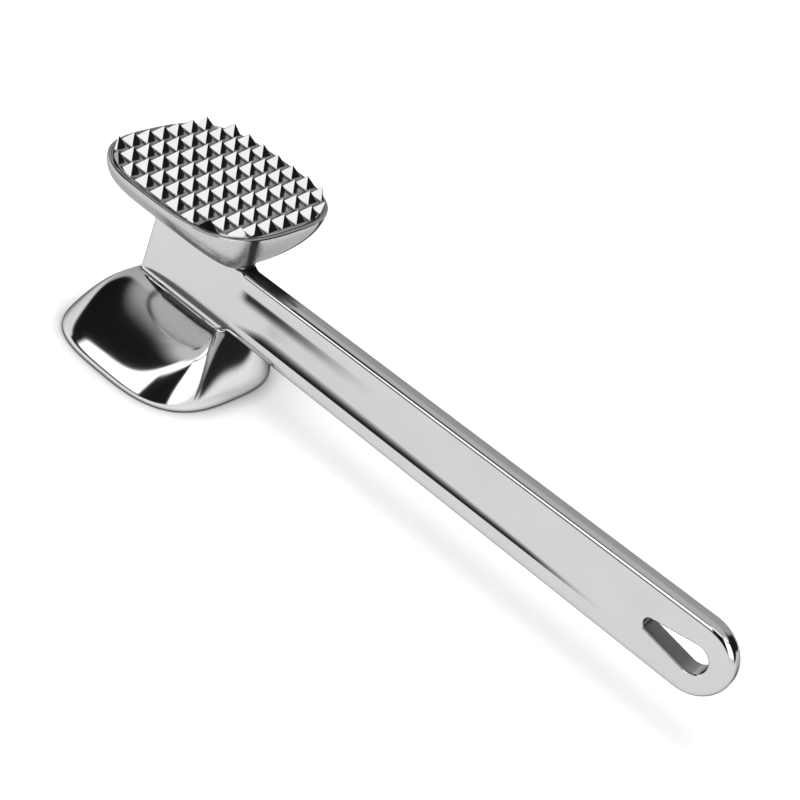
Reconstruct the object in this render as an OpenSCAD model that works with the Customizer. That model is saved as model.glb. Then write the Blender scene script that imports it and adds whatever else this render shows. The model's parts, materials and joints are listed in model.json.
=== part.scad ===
// Double-sided meat mallet, cast in one piece from aluminium.
// The casting is divided into five named regions that meet face to face.
// Frame: origin at the centre of the smooth striking face, +X along the handle
// away from the head, +Z up through the head to the toothed face.

/* [Head] */
// Width of each striking face, along the handle and across it
head_w = 57; // [50:1:70]
// Squareness of the head's outline: 2 is an ellipse, larger is squarer
head_square = 3; // [2.4:0.1:4]
// Overall height, from the smooth face to the tips of the teeth
head_h = 63; // [58:1:75]
// Height of the upright band round each striking face
rim_h = 1.2; // [0.8:0.1:2]
// Radius of the edge round each striking face
rim_edge_r = 0.8; // [0.4:0.1:1]
// How full the curved back of each head is: 1 is a straight cone, 2 an ellipse
back_fullness = 1.3; // [1.1:0.05:2]

/* [Teeth] */
// Distance between neighbouring teeth
tooth_pitch = 6; // [5:0.5:8]
// Side of each tooth's square base
tooth_base = 4.9; // [4:0.1:6]
// Height of each tooth
tooth_h = 2.9; // [2:0.1:4]
// Number of teeth along each side of the grid
tooth_rows = 9; // [7:2:9]
// Width of the plain ledge between the teeth and the edge of the head
ledge_w = 1; // [0.8:0.1:2]
// Thickness of the layer of the face that the teeth stand on
tooth_root_h = 0.6; // [0.4:0.1:0.8]

/* [Handle and neck] */
// Height of the handle's centre line above the smooth face
handle_z = 30.7; // [28:0.1:32]
// Distance from the head's axis to the far end of the handle
handle_end = 192.7; // [170:0.1:230]
// Width of the bar where it passes between the heads
neck_w = 21.3; // [18:0.1:24]
// Width of the handle at its far end
tip_w = 23.2; // [20:0.1:26]
// Thickness of the bar
bar_t = 6.6; // [5:0.1:9]
// Radius of the handle's long edges
bar_edge_r = 1.5; // [0.5:0.1:2]
// Distance from the head's axis to the neck's rear face
neck_rear = 15.6; // [12:0.1:18]
// Distance from the head's axis to the place where the handle leaves the neck
neck_front = 17; // [14:0.1:20]

/* [Finger channel] */
// Width of the shallow channel along each side of the handle
channel_w = 10; // [6:0.5:12]
// Depth of the channel
channel_d = 0.8; // [0.4:0.1:1.2]
// Distance from the head's axis to the start of the channel
channel_start = 22.5; // [20:0.5:40]
// Distance from the head's axis to the end of the channel
channel_end = 158; // [120:1:160]

/* [Hanging hole] */
// Radius of the hole's wide end, nearest the tip
hole_r = 4.3; // [3:0.1:5]
// Radius of the hole's narrow end, nearest the head
hole_small_r = 1.9; // [1:0.1:2.5]
// Distance between the centres of the two ends
hole_l = 13.4; // [10:0.1:18]
// Metal left between the hole and the end of the handle
hole_margin = 6.5; // [5:0.1:8]

/* [Hidden] */

outline_n = 96;                           // points round a head's outline
back_rings = 14;                          // rings down a head's curved back
through = 1;                              // how far a cutting tool runs past a face
half_w = head_w / 2;
face_top = head_h - tooth_h;              // plain face between the teeth
tooth_seat = face_top - tooth_root_h;     // where the tooth layer meets the head
ridge_x = (neck_rear + neck_front) / 2;   // half length of each back's flat ridge
ridge_y = bar_t / 2;
ridge_square = 8;                         // squareness of the outline at the ridge
low_ridge = handle_z - neck_w / 2;        // the neck's lower face
high_ridge = handle_z + neck_w / 2;       // the neck's upper face
tip_r = tip_w / 2;
tip_x = handle_end - tip_r;               // centre of the handle's round end
hole_x = handle_end - hole_margin - hole_r;
tooth_span = (tooth_rows - 1) / 2;
side_share = 0.99;                        // the hole's sides start just inside its round ends

// One coordinate of a superellipse: c is the sine or cosine, p its squareness.
function bow(c, p) = sign(c) * pow(abs(c), 2 / p);

// Closed outline with half lengths a and b and squareness p.
function outline(a, b, p) = [
    for (i = [0 : outline_n - 1])
    let (t = 360 * i / outline_n)
    [a * bow(cos(t), p), b * bow(sin(t), p)]
];

// Half width of the edge rounding's inset at height z above the striking face.
function edge_inset(z) = rim_edge_r - sqrt(max(0, pow(rim_edge_r, 2) - pow(rim_edge_r - z, 2)));

// Share of the way from the ridge to the rim, at a share h of the back's height.
function spread(h) = pow(1 - pow(h, back_fullness), 1 / back_fullness);

function ring(pts, z) = [for (q = pts) [q[0], q[1], z]];

// Rim outline pulled in by d.
function rim(d) = outline(half_w - d, half_w - d, head_square);

// Ring on the curved back at a share h of its height: 0 is the rim, 1 the ridge.
function back_ring(h) = outline(
    ridge_x + (half_w - ridge_x) * spread(h),
    ridge_y + (half_w - ridge_y) * spread(h),
    head_square + (ridge_square - head_square) * pow(h, 3)
);

// Closed solid through a list of rings that all have outline_n points.
module loft(rings) {
    n = outline_n;
    m = len(rings);
    points = [for (r = rings) each r];
    sides = [
        for (k = [0 : m - 2])
        for (i = [0 : n - 1])
        let (j = (i + 1) % n)
        each [[k * n + i, (k + 1) * n + i, (k + 1) * n + j], [k * n + i, (k + 1) * n + j, k * n + j]]
    ];
    bottom = [for (i = [0 : n - 1]) i];
    top = [for (i = [n - 1 : -1 : 0]) (m - 1) * n + i];
    polyhedron(points, concat([bottom], sides, [top]), convexity = 4);
}

// Back of a head: rings from the rim band at z0 to the ridge at z1.
function back_rings_list(z0, z1) = [
    for (k = [0 : back_rings])
    let (h = 1 - cos(90 * k / back_rings))
    ring(back_ring(h), z0 + (z1 - z0) * h)
];

// Rings of the rounded edge of a striking face, from the face inwards.
function edge_rings() = [for (a = [0, 30, 60]) rim_edge_r * (1 - cos(a))];

module smooth_head() {
    edge = [for (z = edge_rings()) ring(rim(edge_inset(z)), z)];
    color("silver")
    loft(concat(edge, back_rings_list(rim_h, low_ridge)));
}

module toothed_head() {
    color("silver")
    translate([0, 0, tooth_seat])
    mirror([0, 0, 1])
    loft(concat([ring(rim(edge_inset(tooth_root_h)), 0)], back_rings_list(rim_h - tooth_root_h, tooth_seat - high_ridge)));
}

// One square pyramid, standing on z = 0 and reaching a little below it.
module tooth() {
    b = tooth_base / 2;
    sink = tooth_root_h / 2;
    points = [
        [-b, -b, -sink], [b, -b, -sink], [b, b, -sink], [-b, b, -sink],
        [-b, -b, 0], [b, -b, 0], [b, b, 0], [-b, b, 0],
        [0, 0, tooth_h]
    ];
    faces = [
        [0, 1, 2, 3],
        [0, 4, 5, 1], [1, 5, 6, 2], [2, 6, 7, 3], [3, 7, 4, 0],
        [4, 8, 5], [5, 8, 6], [6, 8, 7], [7, 8, 4]
    ];
    polyhedron(points, faces);
}

module tooth_grid() {
    color("gainsboro")
    translate([0, 0, face_top]) {
        translate([0, 0, -tooth_root_h])
        loft([
            ring(rim(edge_inset(tooth_root_h)), 0),
            ring(rim(edge_inset(tooth_root_h / 4)), tooth_root_h * 3 / 4),
            ring(rim(rim_edge_r), tooth_root_h)
        ]);
        intersection() {
            for (i = [-tooth_span : tooth_span], j = [-tooth_span : tooth_span])
                translate([i * tooth_pitch, j * tooth_pitch, 0])
                tooth();
            translate([0, 0, -tooth_root_h / 2])
            linear_extrude(tooth_h + tooth_root_h)
            polygon(rim(ledge_w));
        }
    }
}

module neck_web() {
    color("darkgray")
    translate([-neck_rear, -bar_t / 2, low_ridge])
    cube([neck_rear + neck_front, bar_t, neck_w]);
}

// Slot that runs along the handle from the channel's start to its end.
module channel() {
    r = channel_w / 2;
    deep = channel_d + through;
    for (x = [channel_start + r, channel_end - r])
        translate([x, 0, handle_z])
        rotate([90, 0, 0])
        cylinder(r = r, h = deep, $fn = 64);
    translate([channel_start + r, -deep, handle_z - r])
    cube([channel_end - channel_start - channel_w, deep, channel_w]);
}

// Teardrop hole through the handle: two round ends joined by straight sides.
module hanging_hole() {
    lean = asin((hole_r - hole_small_r) / hole_l);
    out = side_share * [-sin(lean), cos(lean)];
    small = [-hole_l, 0];
    translate([hole_x, bar_t / 2 + through, handle_z])
    rotate([90, 0, 0])
    linear_extrude(bar_t + 2 * through) {
        circle(r = hole_r, $fn = 96);
        translate(small)
        circle(r = hole_small_r, $fn = 64);
        polygon([
            small + hole_small_r * out,
            small + hole_small_r * [out[0], -out[1]],
            hole_r * [out[0], -out[1]],
            hole_r * out
        ]);
    }
}

// Solid bar with rounded long edges and a full round end.
module bar_blank() {
    e = bar_edge_r;
    hull() {
        for (y = [-1, 1], z = [-1, 1])
            translate([neck_front, y * (bar_t / 2 - e), handle_z + z * (neck_w / 2 - e)])
            rotate([0, 90, 0])
            cylinder(r = e, h = 0.01, $fn = 32);
        translate([tip_x, 0, handle_z])
        rotate([90, 0, 0])
        rotate_extrude($fn = 64)
        union() {
            translate([0, -bar_t / 2])
            square([tip_r - e, bar_t]);
            for (y = [-1, 1])
                translate([tip_r - e, y * (bar_t / 2 - e)])
                circle(r = e, $fn = 32);
        }
    }
}

module handle() {
    color("silver")
    difference() {
        bar_blank();
        hanging_hole();
        for (side = [0, 1])
            mirror([0, side, 0])
            translate([0, -bar_t / 2 + channel_d, 0])
            channel();
    }
}

smooth_head();
toothed_head();
tooth_grid();
neck_web();
handle();
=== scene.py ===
"""Visual model of a one-piece cast aluminium meat mallet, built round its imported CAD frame.

The casting is one field, worked out in millimetres: two curved heads and a bar, joined by fillets.
Its surface is meshed once and then divided into the named regions of the CAD model. The layer that
carries the teeth is built on its own.
"""

import json
import math

import bmesh
import bpy
import numpy as np
import openvdb
from mathutils import Matrix, Vector


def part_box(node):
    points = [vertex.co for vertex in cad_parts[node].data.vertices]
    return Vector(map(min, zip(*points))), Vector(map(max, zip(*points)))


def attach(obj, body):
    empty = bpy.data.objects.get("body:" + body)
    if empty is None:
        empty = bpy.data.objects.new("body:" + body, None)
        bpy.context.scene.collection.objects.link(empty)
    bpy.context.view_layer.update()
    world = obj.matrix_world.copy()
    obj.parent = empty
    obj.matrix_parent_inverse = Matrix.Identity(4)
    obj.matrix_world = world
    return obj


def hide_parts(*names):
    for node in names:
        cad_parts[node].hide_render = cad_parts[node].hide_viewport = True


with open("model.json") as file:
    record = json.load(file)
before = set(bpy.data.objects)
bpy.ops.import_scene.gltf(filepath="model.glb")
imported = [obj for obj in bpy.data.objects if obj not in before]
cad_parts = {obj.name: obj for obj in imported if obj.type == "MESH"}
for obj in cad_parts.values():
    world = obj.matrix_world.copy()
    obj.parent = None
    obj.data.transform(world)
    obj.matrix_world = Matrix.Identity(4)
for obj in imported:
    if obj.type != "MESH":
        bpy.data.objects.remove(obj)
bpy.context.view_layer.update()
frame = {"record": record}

MM = 0.001


# ---------------------------------------------------------------------------------------------
# Dimensions in millimetres, from the CAD frame where it has them
# ---------------------------------------------------------------------------------------------

def box_mm(node):
    low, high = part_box(node)
    return np.array(low) / MM, np.array(high) / MM


smooth_high = box_mm("smooth_head")[1]
grid_low, grid_high = box_mm("tooth_grid")
neck_low, neck_high = box_mm("neck_web")
handle_low, handle_high = box_mm("handle")
hole = next(m for m in frame["record"]["mounts"] if m["name"] == "hanging_hole")

HALF_W = smooth_high[0]                       # half width of each striking face
HEAD_SQUARE = 3.0                             # squareness of a head's outline
RIDGE_SQUARE = 8.0                            # squareness of the outline at a back's ridge
SMOOTH_BACK_RISE = 3.0                        # how late the outline squares up towards the ridge
TOOTHED_BACK_RISE = 1.4
BACK_FULLNESS = 1.3                           # 1 is a straight cone, 2 an ellipse
RIM_H = 1.2                                   # upright band round each striking face
SMOOTH_EDGE_R = 0.8                           # edge of the smooth striking face
TOOTHED_EDGE_R = 0.6                          # edge of the toothed striking face

LOW_RIDGE = neck_low[2]                       # lower edge of the bar between the heads
HIGH_RIDGE = neck_high[2]                     # upper edge of the bar between the heads
BAR_Z = (LOW_RIDGE + HIGH_RIDGE) / 2          # height of the bar's centre line
BAR_HALF_T = neck_high[1]                     # half thickness of the bar
NECK_HALF_W = (HIGH_RIDGE - LOW_RIDGE) / 2    # half width of the bar at the neck
NECK_REAR = -neck_low[0]
NECK_FRONT = neck_high[0]
RIDGE_X = (NECK_REAR + NECK_FRONT) / 2        # half length of each back's ridge
RIDGE_SHIFT = (NECK_FRONT - NECK_REAR) / 2    # the ridge's middle, ahead of the head's axis
TIP_R = (handle_high[2] - handle_low[2]) / 2  # radius of the handle's round end
TIP_X = handle_high[0] - TIP_R
BEVEL_W = 1.9                                 # slanting band along the edge of the bar's sides
BEVEL_LEAN = math.radians(30)
BEVEL_R = 0.5                                 # where that band meets the side
BEVEL_OUT = 2.0                               # how far off the metal it is kept inside the heads
BAR_EDGE_R = 1.2                              # long edges of the bar
NECK_EDGE_R = 0.1                             # the same edges where they run inside the heads
EDGE_LEAD = 1.0                               # the bar's edge starts to change this far inside the heads
EDGE_CHANGE = 5.0                             # and takes its full shape over this length
REAR_EDGE_R = 0.7                             # upright edges at the neck's rear
WEB_FILLET = 1.1                              # between a back and the sides of the bar
CROTCH_FILLET = 3.2                           # between a head and the handle's edge

HOLE_X = hole["pos_m"][0] / MM
HOLE_R = hole["dims"]["r_mm"]
HOLE_SMALL_R = 1.9                            # the teardrop's narrow end
HOLE_L = 13.4                                 # between the centres of its two ends
HOLE_EDGE_R = 0.5

CHANNEL_START = 22.5                          # where the finger channel begins
CHANNEL_END = 158.0
CHANNEL_FADES = (12.0, 40.0)                  # length over which it deepens from each of them
CHANNEL_D = (0.90, 0.50)                      # its depth, at its start and its end
CHANNEL_LOW = 24.8                            # its lower crease
CHANNEL_TOP = 36.8                            # its soft upper edge
CHANNEL_WALL = math.radians(47)               # slope of its flat lower wall
CHANNEL_FOOT = (0.01, 0.2)                    # least and full softness of the foot of that wall
CHANNEL_SOFT = 9.0                            # width of its upper wall
CHANNEL_ROUND = 0.35                          # how round that wall's two ends are

TOP = grid_high[2]                            # tips of the teeth
TOOTH_SEAT = grid_low[2]                      # where the layer with the teeth begins
TOOTH_H = 3.0
TOOTH_HALF = 2.45                             # half width of a tooth's base
TOOTH_LEAN = math.atan2(TOOTH_H, TOOTH_HALF)  # slope of a tooth's faces
TOOTH_SHEEN_LEAN = math.radians(56.5)         # slope that their shading has, as if slightly hollow
TOOTH_FACE_LEAN = math.radians(38)            # everything steeper than this is shaded as a face
TOOTH_REACH = 2.2                             # a tooth is made if its axis, moved in this far along X
                                              # and Y, is in the field
TOOTH_ROOT_R = 0.35                           # hollow curve round a tooth's foot
TOOTH_ROOT_H = 0.15                           # a tooth's faces begin this high, above its foot
TOOTH_SINK = 0.15                             # how far the teeth reach down into their field
TOOTH_CORNER_R = (0.5, 0.4, 0.3, 0.06)        # of its edges: in the field, at its foot, up to its tip
TOOTH_TIP = ((0.13, 0.12, 0.08), (0.05, 0.049, 0))  # half width, corner radius, depth below the tip
TOOTH_CORNER_STEPS = 3
TOOTH_CORNER_SHARE = 0.98                     # a ring's corners take up no more of its width
TOOTH_PITCH = 6.0
TOOTH_ROWS = 9
FIELD_Z = TOP - TOOTH_H                       # flat field between the teeth
LEDGE_DROP = 0.15                             # the plain ledge lies this far below the field
LEDGE_Z = FIELD_Z - LEDGE_DROP
LEDGE_W = 0.9                                 # from the head's edge to the groove round the field
GROOVE_W = 0.55
GROOVE_D = 0.25
GROOVE_SLOPE = 0.15                           # width of each of the groove's sloping sides
FIELD_TRIM = 0.02                             # the teeth stop this far from the groove
EDGE_TURNS = (30, 45, 60, 75, 90)             # rings of the head's rounded edge above the seat
CUT_SPARE = 0.5                               # how far the field's cutter reaches past the teeth
OUTLINE_N = 240                               # points round the toothed head's outline
SHARP = math.radians(20)                      # edges that turn by more than this are shaded sharp

VOXEL = np.array([0.6, 0.4, 0.4])             # grid that the casting is meshed on; its z planes
                                              # include CHANNEL_LOW, which keeps that crease straight
MARGIN = 2.0                                  # of the grid, round the casting
STEP_LIMIT = 0.25                             # furthest that a point moves at once onto the surface
GAP = 0.3                                     # how far beyond the bar's edges a head is cut off
FAR = 5.0                                     # field value away from the casting
FILLET_REACH = 6.0                            # distances matter up to here for the fillets
HEADS_REACH = HALF_W + 8                      # the heads and their fillets end before this x
NEAR_RIDGE = 0.99                             # share of a back's height up to which it has an outline
SLOPE_STEP = 0.02                             # step for a slope along a head's height
PROBE = 0.01                                  # step for the field's gradient
LEAST_SLOPE = 0.3                             # taken where the field is flatter than this
SEARCH_ROUNDS = 4                             # of each search for the surface
CUT_EXACT = 1e-5                              # points this near to a cut lie on it
TINY = 1e-9                                   # keeps divisors off zero
LEAST_LEVEL = 1e-30                           # does the same on a head's axis
EDGE_SLOPE = (TIP_R - NECK_HALF_W) / (TIP_X - NECK_FRONT)


# ---------------------------------------------------------------------------------------------
# The casting as a field: negative inside, positive outside, about true distance near the surface
# ---------------------------------------------------------------------------------------------

def smooth_step(t):
    t = np.clip(t, 0, 1)
    return t * t * (3 - 2 * t)


def round_union(a, b, r):
    both = np.hypot(np.maximum(r - a, 0), np.maximum(r - b, 0))
    return np.maximum(r, np.minimum(a, b)) - both


def round_intersection(a, b, r):
    both = np.hypot(np.maximum(r + a, 0), np.maximum(r + b, 0))
    return np.minimum(-r, np.maximum(a, b)) + both


def back_level(x, y, h, rise):
    """Level of a head's outline at a share h of its back's height, 1 on the surface, with its slopes."""
    share = (1 - h ** BACK_FULLNESS) ** (1 / BACK_FULLNESS)
    a = RIDGE_X + (HALF_W - RIDGE_X) * share
    b = BAR_HALF_T + (HALF_W - BAR_HALF_T) * share
    m = HEAD_SQUARE + (RIDGE_SQUARE - HEAD_SQUARE) * h ** rise
    u = np.abs(x - RIDGE_SHIFT * (1 - share)) / a
    v = np.abs(y) / b
    level = np.maximum(u ** m + v ** m, LEAST_LEVEL) ** (1 / m)
    return level, (u / level) ** (m - 1) / a, (v / level) ** (m - 1) / b


def head(x, y, s, ridge, edge_r, rise, bar_d):
    """Distance to a head whose striking face is at s = 0 and whose back meets the bar at s = ridge."""
    back_h = ridge - RIM_H

    def level_at(px, py, ps):
        return back_level(px, py, np.clip((ps - RIM_H) / back_h, 0, NEAR_RIDGE), rise)

    level, slope_x, slope_y = level_at(x, y, s)
    slope_s = (level_at(x, y, s + SLOPE_STEP)[0] - level) / SLOPE_STEP
    slope = np.sqrt(slope_x ** 2 + slope_y ** 2 + slope_s ** 2)
    side = (level - 1) / slope

    # outside the back and near the bar, where fillets form, the distance is found along the slope
    close = (side > 0) & (side < FILLET_REACH) & (bar_d < FILLET_REACH)
    px, py, ps = x[close], y[close], s[close]
    start_level, start_side = level[close], side[close]
    run_x = np.sign(px) * slope_x[close] / slope[close]
    run_y = np.sign(py) * slope_y[close] / slope[close]
    run_s = slope_s[close] / slope[close]
    before, value_before, here = np.zeros(len(px)), start_level - 1, start_side
    for _ in range(SEARCH_ROUNDS):
        value = level_at(px - run_x * here, py - run_y * here, ps - run_s * here)[0] - 1
        change = value_before - value
        change = np.where(np.abs(change) < TINY, TINY, change)
        after = np.clip(here + value * (here - before) / change, 0, 4 * FILLET_REACH)
        before, value_before, here = here, value, after
    side[close] = np.maximum(start_side, here)

    side = np.maximum(side, s - ridge)
    return round_intersection(side, -s, edge_r)


def channel_depth(x, z):
    """Depth of the finger channel below the bar's face: a crisp lower wall and a soft upper one."""
    along = np.clip((x - CHANNEL_START) / (CHANNEL_END - CHANNEL_START), 0, 1)
    ends = smooth_step((x - CHANNEL_START) / CHANNEL_FADES[0])
    ends *= smooth_step((CHANNEL_END - x) / CHANNEL_FADES[1])
    deep = (CHANNEL_D[0] + (CHANNEL_D[1] - CHANNEL_D[0]) * along) * ends
    wall = (z - CHANNEL_LOW) * math.tan(CHANNEL_WALL)
    foot = np.clip(deep, *CHANNEL_FOOT)
    share = np.clip(0.5 + 0.5 * (deep - wall) / foot, 0, 1)
    lower = wall * share + deep * (1 - share) - foot * share * (1 - share)
    rise = (CHANNEL_TOP - z) / CHANNEL_SOFT
    upper = CHANNEL_ROUND * smooth_step(rise) + (1 - CHANNEL_ROUND) * np.clip(rise, 0, 1)
    return np.maximum(lower, 0) * upper


def teardrop(x, z):
    """Distance to the outline of the hanging hole."""
    lean = (HOLE_R - HOLE_SMALL_R) / HOLE_L
    cosine = math.sqrt(1 - lean ** 2)
    px, pz = HOLE_X - x, np.abs(z - BAR_Z)
    along = px * cosine - pz * lean
    wide = np.hypot(px, pz) - HOLE_R
    narrow = np.hypot(px - HOLE_L, pz) - HOLE_SMALL_R
    side = px * lean + pz * cosine - HOLE_R
    return np.where(along < 0, wide, np.where(along > HOLE_L * cosine, narrow, side))


def bar(x, y, z):
    """Distance to the bar: neck and handle, with the finger channels and the hanging hole."""
    sine = EDGE_SLOPE / math.hypot(1, EDGE_SLOPE)
    cosine = math.sqrt(1 - sine ** 2)
    px = np.maximum(x, NECK_FRONT) - TIP_X
    pz = np.abs(z - BAR_Z)
    edge = pz * cosine - px * sine - TIP_R
    plan = np.where(px * cosine + pz * sine > 0, np.hypot(px, pz) - TIP_R, edge)
    side = np.abs(y) - BAR_HALF_T + channel_depth(x, z)
    free = smooth_step((x - NECK_FRONT + EDGE_LEAD) / EDGE_CHANGE)
    bevel_w = (BEVEL_W + BEVEL_OUT) * free - BEVEL_OUT
    bevel = (np.abs(y) - BAR_HALF_T) * math.cos(BEVEL_LEAN)
    bevel += (plan + bevel_w) * math.sin(BEVEL_LEAN)
    side = round_intersection(side, bevel, BEVEL_R)
    edge_r = NECK_EDGE_R + (BAR_EDGE_R - NECK_EDGE_R) * free
    d = round_intersection(plan, side, edge_r)
    d = round_intersection(d, -NECK_REAR - x, REAR_EDGE_R)
    return round_intersection(d, -teardrop(x, z), HOLE_EDGE_R)


def casting(x, y, z):
    """Distance to the whole casting without its teeth, for flat arrays of coordinates."""
    d = bar(x, y, z)
    near = x < HEADS_REACH
    xn, yn, zn = x[near], y[near], z[near]
    lower = head(xn, yn, zn, LOW_RIDGE, SMOOTH_EDGE_R, SMOOTH_BACK_RISE, d[near])
    high = LEDGE_Z - HIGH_RIDGE
    upper = head(xn, yn, LEDGE_Z - zn, high, TOOTHED_EDGE_R, TOOTHED_BACK_RISE, d[near])
    blend = smooth_step((xn - NECK_FRONT) / EDGE_CHANGE)
    fillet = WEB_FILLET + (CROTCH_FILLET - WEB_FILLET) * blend
    d[near] = round_union(d[near], np.minimum(lower, upper), fillet)
    return d


def gradient(points):
    """Unit outward normals of the casting's field, and its slope, at an array of points."""
    g = np.empty_like(points)
    for axis in range(3):
        shift = np.zeros(3)
        shift[axis] = PROBE
        g[:, axis] = casting(*(points + shift).T) - casting(*(points - shift).T)
    g /= 2 * PROBE
    slope = np.linalg.norm(g, axis=1, keepdims=True)
    return g / np.maximum(slope, TINY), np.maximum(slope, LEAST_SLOPE)


def largest_part(points, quads):
    """Leaves out any specks that the grid has made apart from the main surface."""
    label = np.arange(len(points))
    sides = np.concatenate([quads[:, [k, (k + 1) % 4]] for k in range(4)])
    while True:
        low = np.minimum(label[sides[:, 0]], label[sides[:, 1]])
        joined = label.copy()
        np.minimum.at(joined, sides[:, 0], low)
        np.minimum.at(joined, sides[:, 1], low)
        joined = joined[joined]
        if np.array_equal(joined, label):
            break
        label = joined
    kept = label == np.bincount(label).argmax()
    number = np.cumsum(kept) - 1
    return points[kept], number[quads[kept[quads[:, 0]]]]


def mesh_casting():
    """Points in millimetres and quads of the casting's surface."""
    low = np.array([-HALF_W, -HALF_W, 0]) - MARGIN
    high = np.array([TIP_X + TIP_R, HALF_W, LEDGE_Z]) + MARGIN
    count = np.ceil((high - low) / VOXEL).astype(int)
    axes = [low[k] + VOXEL[k] * np.arange(count[k]) for k in range(3)]
    field = np.full(count, FAR, np.float32)
    split = int((HEADS_REACH - low[0]) / VOXEL[0])
    middle = int(-low[1] / VOXEL[1])
    reach = int((BAR_HALF_T + MARGIN) / VOXEL[1])
    wide, narrow = slice(0, count[1]), slice(middle - reach, middle + reach + 1)
    for part, across in ((slice(0, split), wide), (slice(split, count[0]), narrow)):
        x, y, z = np.meshgrid(axes[0][part], axes[1][across], axes[2], indexing="ij")
        values = casting(x.ravel(), y.ravel(), z.ravel()).reshape(x.shape)
        field[part, across] = np.clip(values, -FAR, FAR)
    grid = openvdb.FloatGrid(FAR)
    grid.copyFromArray(field)
    points, quads = grid.convertToQuads(0.0)
    points = points.astype(float) * VOXEL + low
    points, quads = largest_part(points, quads.astype(int))
    for _ in range(SEARCH_ROUNDS):
        normal, slope = gradient(points)
        points -= normal * np.clip(casting(*points.T)[:, None] / slope, -STEP_LIMIT, STEP_LIMIT)
    return points, quads


# ---------------------------------------------------------------------------------------------
# Pieces cut from the casting
# ---------------------------------------------------------------------------------------------

def new_object(name, mesh):
    piece = bpy.data.objects.new(name, mesh)
    bpy.context.scene.collection.objects.link(piece)
    return piece


def cut(bm, point, normal):
    """Keeps what lies behind a plane and closes the cut with a flat cap."""
    geometry = bm.verts[:] + bm.edges[:] + bm.faces[:]
    bmesh.ops.bisect_plane(
        bm, geom=geometry, dist=CUT_EXACT, plane_co=point, plane_no=normal, clear_outer=True
    )
    rim = [e for e in bm.edges if e.is_boundary]
    caps = bmesh.ops.triangle_fill(bm, edges=rim, use_beauty=True, normal=normal)["geom"]
    for f in caps:
        if isinstance(f, bmesh.types.BMFace):
            f.smooth = False


def casting_piece(name, whole, cuts):
    """One closed region of the casting, with its exact surface normals."""
    bm = bmesh.new()
    bm.from_mesh(whole)
    for point, normal in cuts:
        cut(bm, Vector(point), Vector(normal))
    bmesh.ops.recalc_face_normals(bm, faces=bm.faces[:])
    mesh = bpy.data.meshes.new(name)
    bm.to_mesh(mesh)
    bm.free()

    points = np.empty(len(mesh.vertices) * 3)
    mesh.vertices.foreach_get("co", points)
    points = points.reshape(-1, 3)
    normals = gradient(points)[0]
    loop_points = np.empty(len(mesh.loops), int)
    mesh.loops.foreach_get("vertex_index", loop_points)
    smooth = np.empty(len(mesh.polygons), bool)
    mesh.polygons.foreach_get("use_smooth", smooth)
    flat_normals = np.empty(len(mesh.polygons) * 3)
    mesh.polygons.foreach_get("normal", flat_normals)
    sizes = np.empty(len(mesh.polygons), int)
    mesh.polygons.foreach_get("loop_total", sizes)
    corner_normals = normals[loop_points]
    flat = np.repeat(~smooth, sizes)
    corner_normals[flat] = np.repeat(flat_normals.reshape(-1, 3), sizes, axis=0)[flat]
    mesh.normals_split_custom_set(corner_normals)
    mesh.transform(Matrix.Scale(MM, 4))
    return new_object(name, mesh)


def build_casting():
    points, quads = mesh_casting()
    whole = bpy.data.meshes.new("casting")
    whole.from_pydata(points, [], quads)
    whole.shade_smooth()
    below = (NECK_FRONT, 0, LOW_RIDGE - GAP), (-EDGE_SLOPE, 0, -1)
    above = (NECK_FRONT, 0, HIGH_RIDGE + GAP), (-EDGE_SLOPE, 0, 1)
    seat = (0, 0, TOOTH_SEAT), (0, 0, 1)
    front = (NECK_FRONT, 0, 0), (1, 0, 0)

    def far_side(plane):
        return plane[0], tuple(-c for c in plane[1])

    pieces = {
        "smooth_head_cast": (far_side(below),),
        "toothed_head_cast": (far_side(above), seat),
        "neck_cast": (below, above, front),
        "handle_cast": (below, above, far_side(front)),
    }
    made = {name: casting_piece(name, whole, cuts) for name, cuts in pieces.items()}
    bpy.data.meshes.remove(whole)
    return made


# ---------------------------------------------------------------------------------------------
# The layer with the teeth
# ---------------------------------------------------------------------------------------------

def outline(half, z):
    """Ring of the head's outline with a half width, at height z."""
    t = np.linspace(0, 2 * math.pi, OUTLINE_N, endpoint=False)
    x, y = np.cos(t), np.sin(t)
    power = 2 / HEAD_SQUARE
    return np.stack([
        half * np.sign(x) * np.abs(x) ** power,
        half * np.sign(y) * np.abs(y) ** power,
        np.full(OUTLINE_N, z),
    ], axis=1)


def loft(name, rings):
    """Closed mesh through rings of points, all with the same count, in millimetres."""
    n = len(rings[0])
    points = np.concatenate(rings)
    faces = [list(range(n - 1, -1, -1))]
    for k in range(len(rings) - 1):
        for i in range(n):
            j = (i + 1) % n
            faces.append([k * n + i, k * n + j, (k + 1) * n + j, (k + 1) * n + i])
    top = (len(rings) - 1) * n
    faces.append([top + i for i in range(n)])
    mesh = bpy.data.meshes.new(name)
    mesh.from_pydata(points, [], faces)
    return new_object(name, mesh)


def tooth_ring(half, corner, z):
    """Square ring with rounded corners."""
    points = []
    for quarter in range(4):
        middle = math.pi / 4 + quarter * math.pi / 2
        cx = math.copysign(half - corner, math.cos(middle))
        cy = math.copysign(half - corner, math.sin(middle))
        for k in range(TOOTH_CORNER_STEPS + 1):
            a = quarter * math.pi / 2 + k * math.pi / 2 / TOOTH_CORNER_STEPS
            points.append((cx + corner * math.cos(a), cy + corner * math.sin(a), z))
    return np.array(points)


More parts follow.
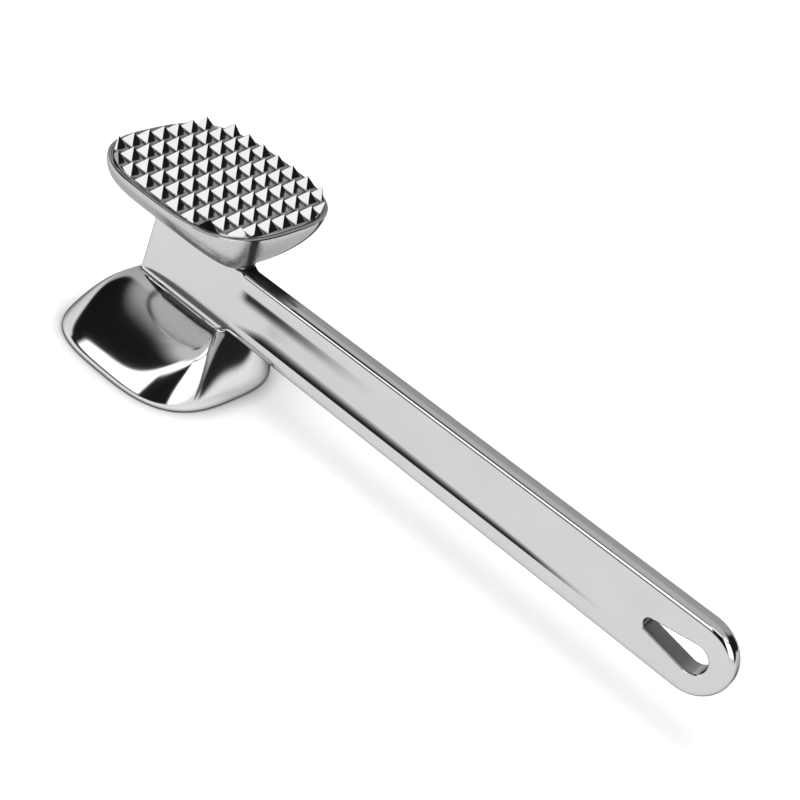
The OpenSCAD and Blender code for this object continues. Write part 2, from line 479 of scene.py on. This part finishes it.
def teeth():
    """Every tooth of the grid, as one mesh of separate closed pyramids."""
    foot = TOOTH_HALF + TOOTH_ROOT_R * math.tan(TOOTH_LEAN / 2)
    sunk_r, foot_r, face_r, tip_r = TOOTH_CORNER_R
    shape = [(foot, sunk_r, -TOOTH_SINK)]
    for share in (0, 0.25, 0.5, 0.75, 1):
        a = TOOTH_LEAN * share
        shape.append((foot - TOOTH_ROOT_R * math.sin(a), foot_r, TOOTH_ROOT_R * (1 - math.cos(a))))
    for share in (0.35, 0.65, 0.9):
        shape.append((TOOTH_HALF * (1 - share), face_r * (1 - share) + tip_r, TOOTH_H * share))
    shape += [(half, r, TOOTH_H - down) for half, r, down in TOOTH_TIP]
    rings = [tooth_ring(half, min(r, TOOTH_CORNER_SHARE * half), z) for half, r, z in shape]
    one = loft("tooth", rings)
    points = np.array([v.co for v in one.data.vertices])
    faces = [list(p.vertices) for p in one.data.polygons]
    bpy.data.objects.remove(one)
    span = TOOTH_PITCH * (TOOTH_ROWS - 1) / 2
    all_points, all_faces = [], []
    for gx in np.arange(-span, span + 1, TOOTH_PITCH):
        for gy in np.arange(-span, span + 1, TOOTH_PITCH):
            inside = sum((abs(c) - TOOTH_REACH) ** HEAD_SQUARE for c in (gx, gy))
            if inside > (HALF_W - LEDGE_W - GROOVE_W) ** HEAD_SQUARE:
                continue
            start = len(all_points) * len(points)
            all_points.append(points + (gx, gy, FIELD_Z))
            all_faces += [[start + i for i in f] for f in faces]
    mesh = bpy.data.meshes.new("teeth")
    mesh.from_pydata(np.concatenate(all_points), [], all_faces)
    return new_object("teeth", mesh)


def boolean(piece, tool, operation):
    """Applies an exact boolean to a piece and removes the tool."""
    change = piece.modifiers.new("boolean", "BOOLEAN")
    change.object = tool
    change.operation = operation
    change.solver = "EXACT"
    shape = bpy.context.evaluated_depsgraph_get()
    mesh = bpy.data.meshes.new_from_object(piece.evaluated_get(shape))
    piece.modifiers.clear()
    piece.data = mesh
    bpy.data.objects.remove(tool)


def bend_tooth_shading(mesh):
    """Shades the teeth's flat faces as slightly steeper ones.

    Everything steep above the field is bent to that one lean. The teeth's rounded edges and the
    upright walls of part teeth are too, though their shading then strays further from their shape.
    """
    normals = [n.vector.copy() for n in mesh.corner_normals]
    for face in mesh.polygons:
        flat = math.hypot(face.normal.x, face.normal.y)
        if face.center.z > FIELD_Z + TOOTH_ROOT_H and flat > math.sin(TOOTH_FACE_LEAN):
            share = math.sin(TOOTH_SHEEN_LEAN) / flat
            bent = (face.normal.x * share, face.normal.y * share, math.cos(TOOTH_SHEEN_LEAN))
            for k in face.loop_indices:
                normals[k] = Vector(bent)
    mesh.normals_split_custom_set(normals)


def build_tooth_layer():
    """Top of the toothed head: its rounded edge, the ledge, the groove, the field and the teeth."""
    seat_turn = math.asin(1 - (LEDGE_Z - TOOTH_SEAT) / TOOTHED_EDGE_R)
    rings = [outline(HALF_W - TOOTHED_EDGE_R * (1 - math.cos(seat_turn)), TOOTH_SEAT)]
    for turn in EDGE_TURNS:
        inset = TOOTHED_EDGE_R * (1 - math.cos(math.radians(turn)))
        drop = TOOTHED_EDGE_R * (1 - math.sin(math.radians(turn)))
        rings.append(outline(HALF_W - inset, LEDGE_Z - drop))
    for inset, z in (
        (0, LEDGE_Z),
        (GROOVE_SLOPE, LEDGE_Z - GROOVE_D),
        (GROOVE_W - GROOVE_SLOPE, LEDGE_Z - GROOVE_D),
        (GROOVE_W, FIELD_Z),
    ):
        rings.append(outline(HALF_W - LEDGE_W - inset, z))
    layer = loft("tooth_layer", rings)
    field = HALF_W - LEDGE_W - GROOVE_W - FIELD_TRIM
    rows = teeth()
    bounds = loft("bounds", [outline(field, FIELD_Z - CUT_SPARE), outline(field, TOP + CUT_SPARE)])
    boolean(rows, bounds, "INTERSECT")
    boolean(layer, rows, "UNION")
    mesh = layer.data
    mesh.shade_smooth()
    mesh.set_sharp_from_angle(angle=SHARP)
    bend_tooth_shading(mesh)
    mesh.transform(Matrix.Scale(MM, 4))
    return layer


# ---------------------------------------------------------------------------------------------
# Materials
# ---------------------------------------------------------------------------------------------

def node(tree, kind, **values):
    """A new node, with its properties and its inputs' values set by name."""
    made = tree.nodes.new(kind)
    for name, value in values.items():
        if hasattr(made, name):
            setattr(made, name, value)
        else:
            made.inputs[name.replace("_", " ")].default_value = value
    return made


def math_node(tree, operation, *values):
    """Output of a math node on the given sockets and numbers."""
    made = node(tree, "ShaderNodeMath", operation=operation)
    for socket, value in zip(made.inputs, values):
        if isinstance(value, bpy.types.NodeSocket):
            tree.links.new(value, socket)
        else:
            socket.default_value = value
    return made.outputs[0]


def ramp(tree, value, low, high):
    """0 below low and 1 above high, with a smooth change between."""
    made = node(tree, "ShaderNodeMapRange", interpolation_type="SMOOTHSTEP")
    made.inputs["From Min"].default_value = low
    made.inputs["From Max"].default_value = high
    tree.links.new(value, made.inputs["Value"])
    return made.outputs["Result"]


def place_mm(tree, place):
    """The three coordinates of a place, in millimetres."""
    parts = node(tree, "ShaderNodeSeparateXYZ")
    tree.links.new(place, parts.inputs[0])
    return [math_node(tree, "DIVIDE", part, MM) for part in parts.outputs]


def shaded(tree, amount, *ramps):
    """Share of brightness that is kept under a shade, which each ramp (value, none, full) bounds."""
    for value, none, full in ramps:
        amount = math_node(tree, "MULTIPLY", ramp(tree, value, none, full), amount)
    return math_node(tree, "SUBTRACT", 1, amount)


# Painted shade and dark reflections, in millimetres: how dark each place is, and where its shade begins
# and is full
LINE_SHADE = 0.98                             # painted shade and dark reflection along the channel's lower crease
LINE_W = (3.0, 1.3)                           # width of that line, near the neck and far from it
LINE_W_X = (40, 145)                          # where it has these widths
LINE_SLIM = 0.35                              # share of its width at its very start
LINE_SLIM_X = (22, 34)
LINE_FADE = 1.7                               # how long it stays dark across its width
LINE_X = (20, 32)
LINE_END_X = (158, 130)
LINE_Z = (CHANNEL_LOW - 0.15, CHANNEL_LOW + 0.05)
CORNER_SHADE = 0.92                           # painted shade and dark reflection in the channel's upper corner by the neck
CORNER_X = (20, 24)
CORNER_END_X = (76, 28)
CORNER_Z = (31.8, 35.2)
CORNER_TOP_Z = (36.9, 35.9)
CROTCH_SHADE = 0.9                            # painted dark reflection on the handle's edge, close to the toothed head
CROTCH_X = (41, 31)
CROTCH_Z = (40.5, 40.9)
HOLE_SHADE = 0.6                              # painted shade on the wall of the hanging hole
HOLE_SHADE_X = (161, 168)
HOLE_SHADE_END_X = (188, 179)
HOLE_SHADE_Y = (3.2, 2.9)                     # from the bar's mid plane
HOLE_SHADE_Z = (5.0, 4.7)                     # from the bar's centre line
BACK_LINE_SHADE = 0.9                         # painted dark reflection down the front corners of the toothed head's back
BACK_LINE_Y = 14.2                            # furthest that this line runs from the mid plane
BACK_LINE_FOOT = 41.5                         # at the crotch
BACK_LINE_HEAD = 59.0                         # at the rim
BACK_LINE_BEND = 1.6
BACK_LINE_W = (2.3, 0.8)                      # half width of the line with its soft edge, and without
BACK_LINE_X = (14, 18)
BACK_LINE_Z = (61, 60)
PAINTED_SHADE_ROUGHNESS = 0.5                       # added to the roughness where the painted shade is full


def handle_painted_shade(tree, place):
    """Share of the bar's brightness that is kept under painted shade and dark reflections: along the
    channel's crease, in its corner by the neck, on the handle's edge and in the hole.
    """
    x, y, z = place_mm(tree, place)
    width = node(tree, "ShaderNodeMapRange")
    for socket, value in zip(("From Min", "From Max", "To Min", "To Max"), LINE_W_X + LINE_W):
        width.inputs[socket].default_value = value
    tree.links.new(x, width.inputs["Value"])
    begun = math_node(tree, "MULTIPLY", ramp(tree, x, *LINE_SLIM_X), 1 - LINE_SLIM)
    begun = math_node(tree, "ADD", LINE_SLIM, begun)
    wide = math_node(tree, "MULTIPLY", width.outputs["Result"], begun)
    above = math_node(tree, "SUBTRACT", z, CHANNEL_LOW)
    share = math_node(tree, "DIVIDE", math_node(tree, "MAXIMUM", above, 0), wide)
    fade = math_node(tree, "POWER", math_node(tree, "MINIMUM", share, 1), LINE_FADE)
    line = math_node(tree, "MULTIPLY", math_node(tree, "SUBTRACT", 1, fade), LINE_SHADE)
    off_side = math_node(tree, "ABSOLUTE", y)
    off_axis = math_node(tree, "ABSOLUTE", math_node(tree, "SUBTRACT", z, BAR_Z))
    kept = shaded(tree, line, (x, *LINE_X), (x, *LINE_END_X), (z, *LINE_Z))
    corner = (x, *CORNER_X), (x, *CORNER_END_X), (z, *CORNER_Z), (z, *CORNER_TOP_Z)
    crotch = (x, *CROTCH_X), (z, *CROTCH_Z)
    across_hole = (off_side, *HOLE_SHADE_Y), (off_axis, *HOLE_SHADE_Z)
    hole_wall = (x, *HOLE_SHADE_X), (x, *HOLE_SHADE_END_X), *across_hole
    for amount, ramps in ((CORNER_SHADE, corner), (CROTCH_SHADE, crotch), (HOLE_SHADE, hole_wall)):
        kept = math_node(tree, "MULTIPLY", kept, shaded(tree, amount, *ramps))
    return kept


def head_painted_shade(tree, place):
    """Share of brightness that is kept under a painted dark reflection along the front corners of the
    toothed head's back.
    """
    x, y, z = place_mm(tree, place)
    down = math_node(tree, "SUBTRACT", BACK_LINE_HEAD, z)
    down = math_node(tree, "DIVIDE", down, BACK_LINE_HEAD - BACK_LINE_FOOT)
    down = math_node(tree, "MINIMUM", math_node(tree, "MAXIMUM", down, 0), 1)
    bent = math_node(tree, "SUBTRACT", 1, math_node(tree, "POWER", down, BACK_LINE_BEND))
    middle = math_node(tree, "MULTIPLY", bent, BACK_LINE_Y)
    off = math_node(tree, "SUBTRACT", math_node(tree, "ABSOLUTE", y), middle)
    off = math_node(tree, "ABSOLUTE", off)
    return shaded(tree, BACK_LINE_SHADE, (off, *BACK_LINE_W), (x, *BACK_LINE_X), (z, *BACK_LINE_Z))


CLOUD_SCALE = 90.0
CLOUD_RANGE = (0.3, 0.7)                      # part of the noise over which the tone changes
CLOUD_TONE = 0.955                            # the darker clouds, as a share of the colour
POLISH_SCALE = (150, 2600, 2600)              # polishing lines, long along X
POLISH_GLOSS = (0.75, 1.3)                    # range of roughness between them
POLISH_DEPTH = 0.000004                       # of the lines, in metres, at a strength of 1
POLISH_STRENGTH = 0.1
RIPPLE_SCALE = 140.0


def polished_aluminium(name, colour, roughness, ripple, edge_tint, shade_paint=None):
    """Polished cast aluminium: fine polishing lines along X, faint cloudy tone and slow ripples.

    Glancing reflections are dulled to the share edge_tint, and painted shade and dark reflections may
    darken parts of it.
    """
    material = bpy.data.materials.new(name)
    material.use_nodes = True
    tree = material.node_tree
    shader = tree.nodes["Principled BSDF"]
    shader.inputs["Metallic"].default_value = 1.0
    shader.inputs["Specular Tint"].default_value = (edge_tint, edge_tint, edge_tint, 1)
    place = node(tree, "ShaderNodeTexCoord")
    link = tree.links.new

    clouds = node(tree, "ShaderNodeTexNoise", Scale=CLOUD_SCALE, Detail=4.0, Roughness=0.6)
    link(place.outputs["Object"], clouds.inputs["Vector"])
    tone = node(tree, "ShaderNodeValToRGB")
    tone.color_ramp.elements[0].position = CLOUD_RANGE[0]
    tone.color_ramp.elements[1].position = CLOUD_RANGE[1]
    tone.color_ramp.elements[0].color = (*(c * CLOUD_TONE for c in colour), 1)
    tone.color_ramp.elements[1].color = (*colour, 1)
    link(clouds.outputs["Fac"], tone.inputs["Fac"])
    # painted shade and dark reflections scale the base colour here
    if shade_paint:
        unshaded = shade_paint(tree, place.outputs["Object"])
        darkened = node(tree, "ShaderNodeVectorMath", operation="SCALE")
        link(tone.outputs["Color"], darkened.inputs[0])
        link(unshaded, darkened.inputs["Scale"])
        link(darkened.outputs[0], shader.inputs["Base Color"])
    else:
        link(tone.outputs["Color"], shader.inputs["Base Color"])

    stretch = node(tree, "ShaderNodeMapping")
    stretch.inputs["Scale"].default_value = POLISH_SCALE
    link(place.outputs["Object"], stretch.inputs["Vector"])
    lines = node(tree, "ShaderNodeTexNoise", Scale=1.0, Detail=3.0, Roughness=0.55)
    link(stretch.outputs["Vector"], lines.inputs["Vector"])
    gloss = node(tree, "ShaderNodeMapRange")
    gloss.inputs["To Min"].default_value = roughness * POLISH_GLOSS[0]
    gloss.inputs["To Max"].default_value = roughness * POLISH_GLOSS[1]
    link(lines.outputs["Fac"], gloss.inputs["Value"])
    if shade_paint:
        shade_roughness = math_node(tree, "MULTIPLY", math_node(tree, "SUBTRACT", 1, unshaded), PAINTED_SHADE_ROUGHNESS)
        link(math_node(tree, "ADD", gloss.outputs["Result"], shade_roughness), shader.inputs["Roughness"])
    else:
        link(gloss.outputs["Result"], shader.inputs["Roughness"])

    slow = node(tree, "ShaderNodeTexNoise", Scale=RIPPLE_SCALE, Detail=2.0, Roughness=0.4)
    link(place.outputs["Object"], slow.inputs["Vector"])
    slow_bump = node(tree, "ShaderNodeBump", Strength=1.0, Distance=ripple)
    link(slow.outputs["Fac"], slow_bump.inputs["Height"])
    fine_bump = node(tree, "ShaderNodeBump", Strength=POLISH_STRENGTH, Distance=POLISH_DEPTH)
    link(lines.outputs["Fac"], fine_bump.inputs["Height"])
    link(slow_bump.outputs["Normal"], fine_bump.inputs["Normal"])
    link(fine_bump.outputs["Normal"], shader.inputs["Normal"])
    return material


FLOOR_GLOW = 0.30                             # the sweep's own glow, painted light that keeps it white
FLOOR_TONES = (0.80, 0.83)                    # its paper tone
CONTACT_REACH = 0.006                         # painted contact shadow: the sweep darkens this close to the mallet
CONTACT_OPEN = 0.35                           # openness below which it has no glow, which deepens the painted contact shadow


def pale_floor():
    """Matt white sweep with a barely visible paper tone, its own glow as painted light, and a painted
    contact shadow round the mallet.
    """
    material = bpy.data.materials.new("pale_floor")
    material.use_nodes = True
    tree = material.node_tree
    shader = tree.nodes["Principled BSDF"]
    shader.inputs["Roughness"].default_value = 0.9
    shader.inputs["Specular IOR Level"].default_value = 0.0
    shader.inputs["Emission Color"].default_value = (1, 1, 1, 1)
    place = node(tree, "ShaderNodeTexCoord")
    grain = node(tree, "ShaderNodeTexNoise", Scale=40.0, Detail=3.0)
    tone = node(tree, "ShaderNodeValToRGB")
    for element, grey in zip(tone.color_ramp.elements, FLOOR_TONES):
        element.color = (grey, grey, grey, 1)
    tree.links.new(place.outputs["Object"], grain.inputs["Vector"])
    tree.links.new(grain.outputs["Fac"], tone.inputs["Fac"])
    # painted contact shadow: occlusion darkens the sweep's colour and takes away its glow near the
    # mallet
    contact_shadow = node(tree, "ShaderNodeAmbientOcclusion", samples=8, Distance=CONTACT_REACH)
    tree.links.new(tone.outputs["Color"], contact_shadow.inputs["Color"])
    tree.links.new(contact_shadow.outputs["Color"], shader.inputs["Base Color"])
    glow = node(tree, "ShaderNodeMapRange")
    glow.inputs["From Min"].default_value = CONTACT_OPEN
    glow.inputs["To Max"].default_value = FLOOR_GLOW
    tree.links.new(contact_shadow.outputs["AO"], glow.inputs["Value"])
    tree.links.new(glow.outputs["Result"], shader.inputs["Emission Strength"])
    return material


# ---------------------------------------------------------------------------------------------
# Studio
# ---------------------------------------------------------------------------------------------

VIEW_TARGET = Vector((0.07791, 0.00122, 0.03598))  # point on the camera's axis, beside the handle
VIEW_DISTANCE = 0.43416
VIEW_AZIMUTH = 25.330                              # from -Y towards +X
VIEW_ELEVATION = 32.880
VIEW_ROLL = 23.064                                 # the object's upright leans right by this much
LENS = 71.67
SENSOR_W = 36
CLIP_START = 0.01

FLOOR_REACH = 6.0
FLOOR_DROP = 0.00002                               # keeps the floor clear of the striking face
OVERHEAD_FROM = Vector((-0.17, -0.28, 1.0))
OVERHEAD_SPREAD = math.radians(32)
OVERHEAD_STRENGTH = 1.2

SKY_LIGHT = 1.05                                   # of the sky, and the sweep at its foot
# Patches of sky, painted in order. Each has its edges in degrees (left, right, low, high), their
# softness, the lean of its sides, the tilt of its top and bottom, and its brightness.
SKY = [
    ((-400, 400, 14, 200), 3, 0, 0, 0.56),        # the dim room
    ((-54, 100, 13, 60), 2, 0, 0, 2.0),           # wide white softbox in front
    ((-95, -47, -9, 40), 3, 0, 0.31, 0.01),       # black card on the left
    ((-56, 12, 57.5, 140), 2, 0, -0.64, 0.01),    # its slanting edge over the softbox
    ((-60, 0, 4, 12), 2, 0, 0, 0.01),             # dark gap between the sweep and the softbox
    ((-1, 49, 4, 46), 2, 0, -0.15, 0.01),         # black card in front
    ((46, 108, 64, 66.5), 1, 0, 0.22, 0.01),      # rail over the right softbox
    ((101, 156, 3, 46), 2.5, 0, 0, 0.02),         # black card on the right
    ((-400, 400, 58, 200), 5, 0, 0, 0.72),        # ceiling light
]


def add_camera():
    camera = bpy.data.objects.new("camera", bpy.data.cameras.new("camera"))
    bpy.context.scene.collection.objects.link(camera)
    camera.data.sensor_width = SENSOR_W
    camera.data.lens = LENS
    camera.data.clip_start = CLIP_START
    turn = (
        Matrix.Rotation(math.radians(VIEW_AZIMUTH), 4, "Z")
        @ Matrix.Rotation(math.radians(90 - VIEW_ELEVATION), 4, "X")
        @ Matrix.Rotation(math.radians(VIEW_ROLL), 4, "Z")
    )
    back = turn.to_3x3() @ Vector((0, 0, 1))
    camera.matrix_world = Matrix.Translation(VIEW_TARGET + VIEW_DISTANCE * back) @ turn
    bpy.context.scene.camera = camera


def add_floor():
    mesh = bpy.data.meshes.new("floor")
    signs = ((-1, -1), (1, -1), (1, 1), (-1, 1))
    points = [(FLOOR_REACH * a, FLOOR_REACH * b, 0) for a, b in signs]
    mesh.from_pydata(points, [], [(0, 1, 2, 3)])
    mesh.materials.append(pale_floor())
    floor = new_object("floor", mesh)
    floor.location.z = -FLOOR_DROP


def add_overhead_light():
    """Soft light from above, which gives the mallet its faint shadow."""
    light = bpy.data.lights.new("overhead", "SUN")
    light.angle = OVERHEAD_SPREAD
    light.energy = OVERHEAD_STRENGTH
    lamp = bpy.data.objects.new("overhead", light)
    bpy.context.scene.collection.objects.link(lamp)
    lamp.rotation_euler = OVERHEAD_FROM.to_track_quat("Z", "Y").to_euler()
    lamp.visible_glossy = False


def patch(tree, azimuth, elevation, edges, soft, lean, tilt):
    """Mask of a patch of sky: its edges in degrees, leaning with elevation and tilting with azimuth."""
    left, right, low, high = edges
    side = math_node(tree, "ADD", azimuth, math_node(tree, "MULTIPLY", elevation, lean))
    level = math_node(tree, "ADD", elevation, math_node(tree, "MULTIPLY", azimuth, tilt))
    mask = ramp(tree, side, left - soft, left + soft)
    for value, a, b in (
        (side, right + soft, right - soft),
        (level, low - soft, low + soft),
        (level, high + soft, high - soft),
    ):
        mask = math_node(tree, "MULTIPLY", mask, ramp(tree, value, a, b))
    return mask


def add_sky():
    """A pale studio: white sweep at the bottom, black cards and white softboxes above it."""
    world = bpy.data.worlds.new("studio")
    bpy.context.scene.world = world
    world.use_nodes = True
    tree = world.node_tree
    link = tree.links.new
    place = node(tree, "ShaderNodeTexCoord")
    parts = node(tree, "ShaderNodeSeparateXYZ")
    link(place.outputs["Generated"], parts.inputs[0])
    x, y, z = parts.outputs
    turned = math_node(tree, "ARCTAN2", x, math_node(tree, "MULTIPLY", y, -1))
    azimuth = math_node(tree, "DEGREES", turned)
    elevation = math_node(tree, "DEGREES", math_node(tree, "ARCSINE", z))

    light = SKY_LIGHT
    for edges, soft, lean, tilt, value in SKY:
        mask = patch(tree, azimuth, elevation, edges, soft, lean, tilt)
        kept = math_node(tree, "MULTIPLY", light, math_node(tree, "SUBTRACT", 1, mask))
        light = math_node(tree, "ADD", kept, math_node(tree, "MULTIPLY", mask, value))
    link(light, tree.nodes["Background"].inputs["Strength"])
    tree.nodes["Background"].inputs["Color"].default_value = (1, 1, 1, 1)


# ---------------------------------------------------------------------------------------------
# Assembly
# ---------------------------------------------------------------------------------------------

add_camera()
add_floor()
add_overhead_light()
add_sky()
bpy.context.scene.view_settings.view_transform = "Standard"

# each with its colour, roughness, ripple in metres, and share of glancing reflections that is kept
mirror = polished_aluminium("polished_casting", (0.68, 0.68, 0.685), 0.09, 0.00001, 0.15)
# the toothed head's colour is set darker than the smooth head's as painted shade, with a rougher finish
dull_and_shaded = polished_aluminium("toothed_head_casting", (0.52, 0.52, 0.524), 0.27, 0.00001, 0.55, head_painted_shade)
bright = polished_aluminium("toothed_casting", (0.46, 0.46, 0.464), 0.10, 0.000005, 0.15)
satin = polished_aluminium("satin_casting", (0.58, 0.58, 0.585), 0.07, 0.00001, 0.15, handle_painted_shade)

regions = build_casting()
regions["tooth_layer"] = build_tooth_layer()
for name, node_name, slot_name, finish in (
    ("smooth_head_cast", "smooth_head", "polished_casting", mirror),
    ("toothed_head_cast", "toothed_head", "polished_casting", dull_and_shaded),
    ("tooth_layer", "tooth_grid", "toothed_face", bright),
    ("neck_cast", "neck_web", "satin_casting", satin),
    ("handle_cast", "handle", "satin_casting", satin),
):
    piece = regions[name]
    piece.data.materials.append(finish)
    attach(piece, "root")
    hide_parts(node_name)
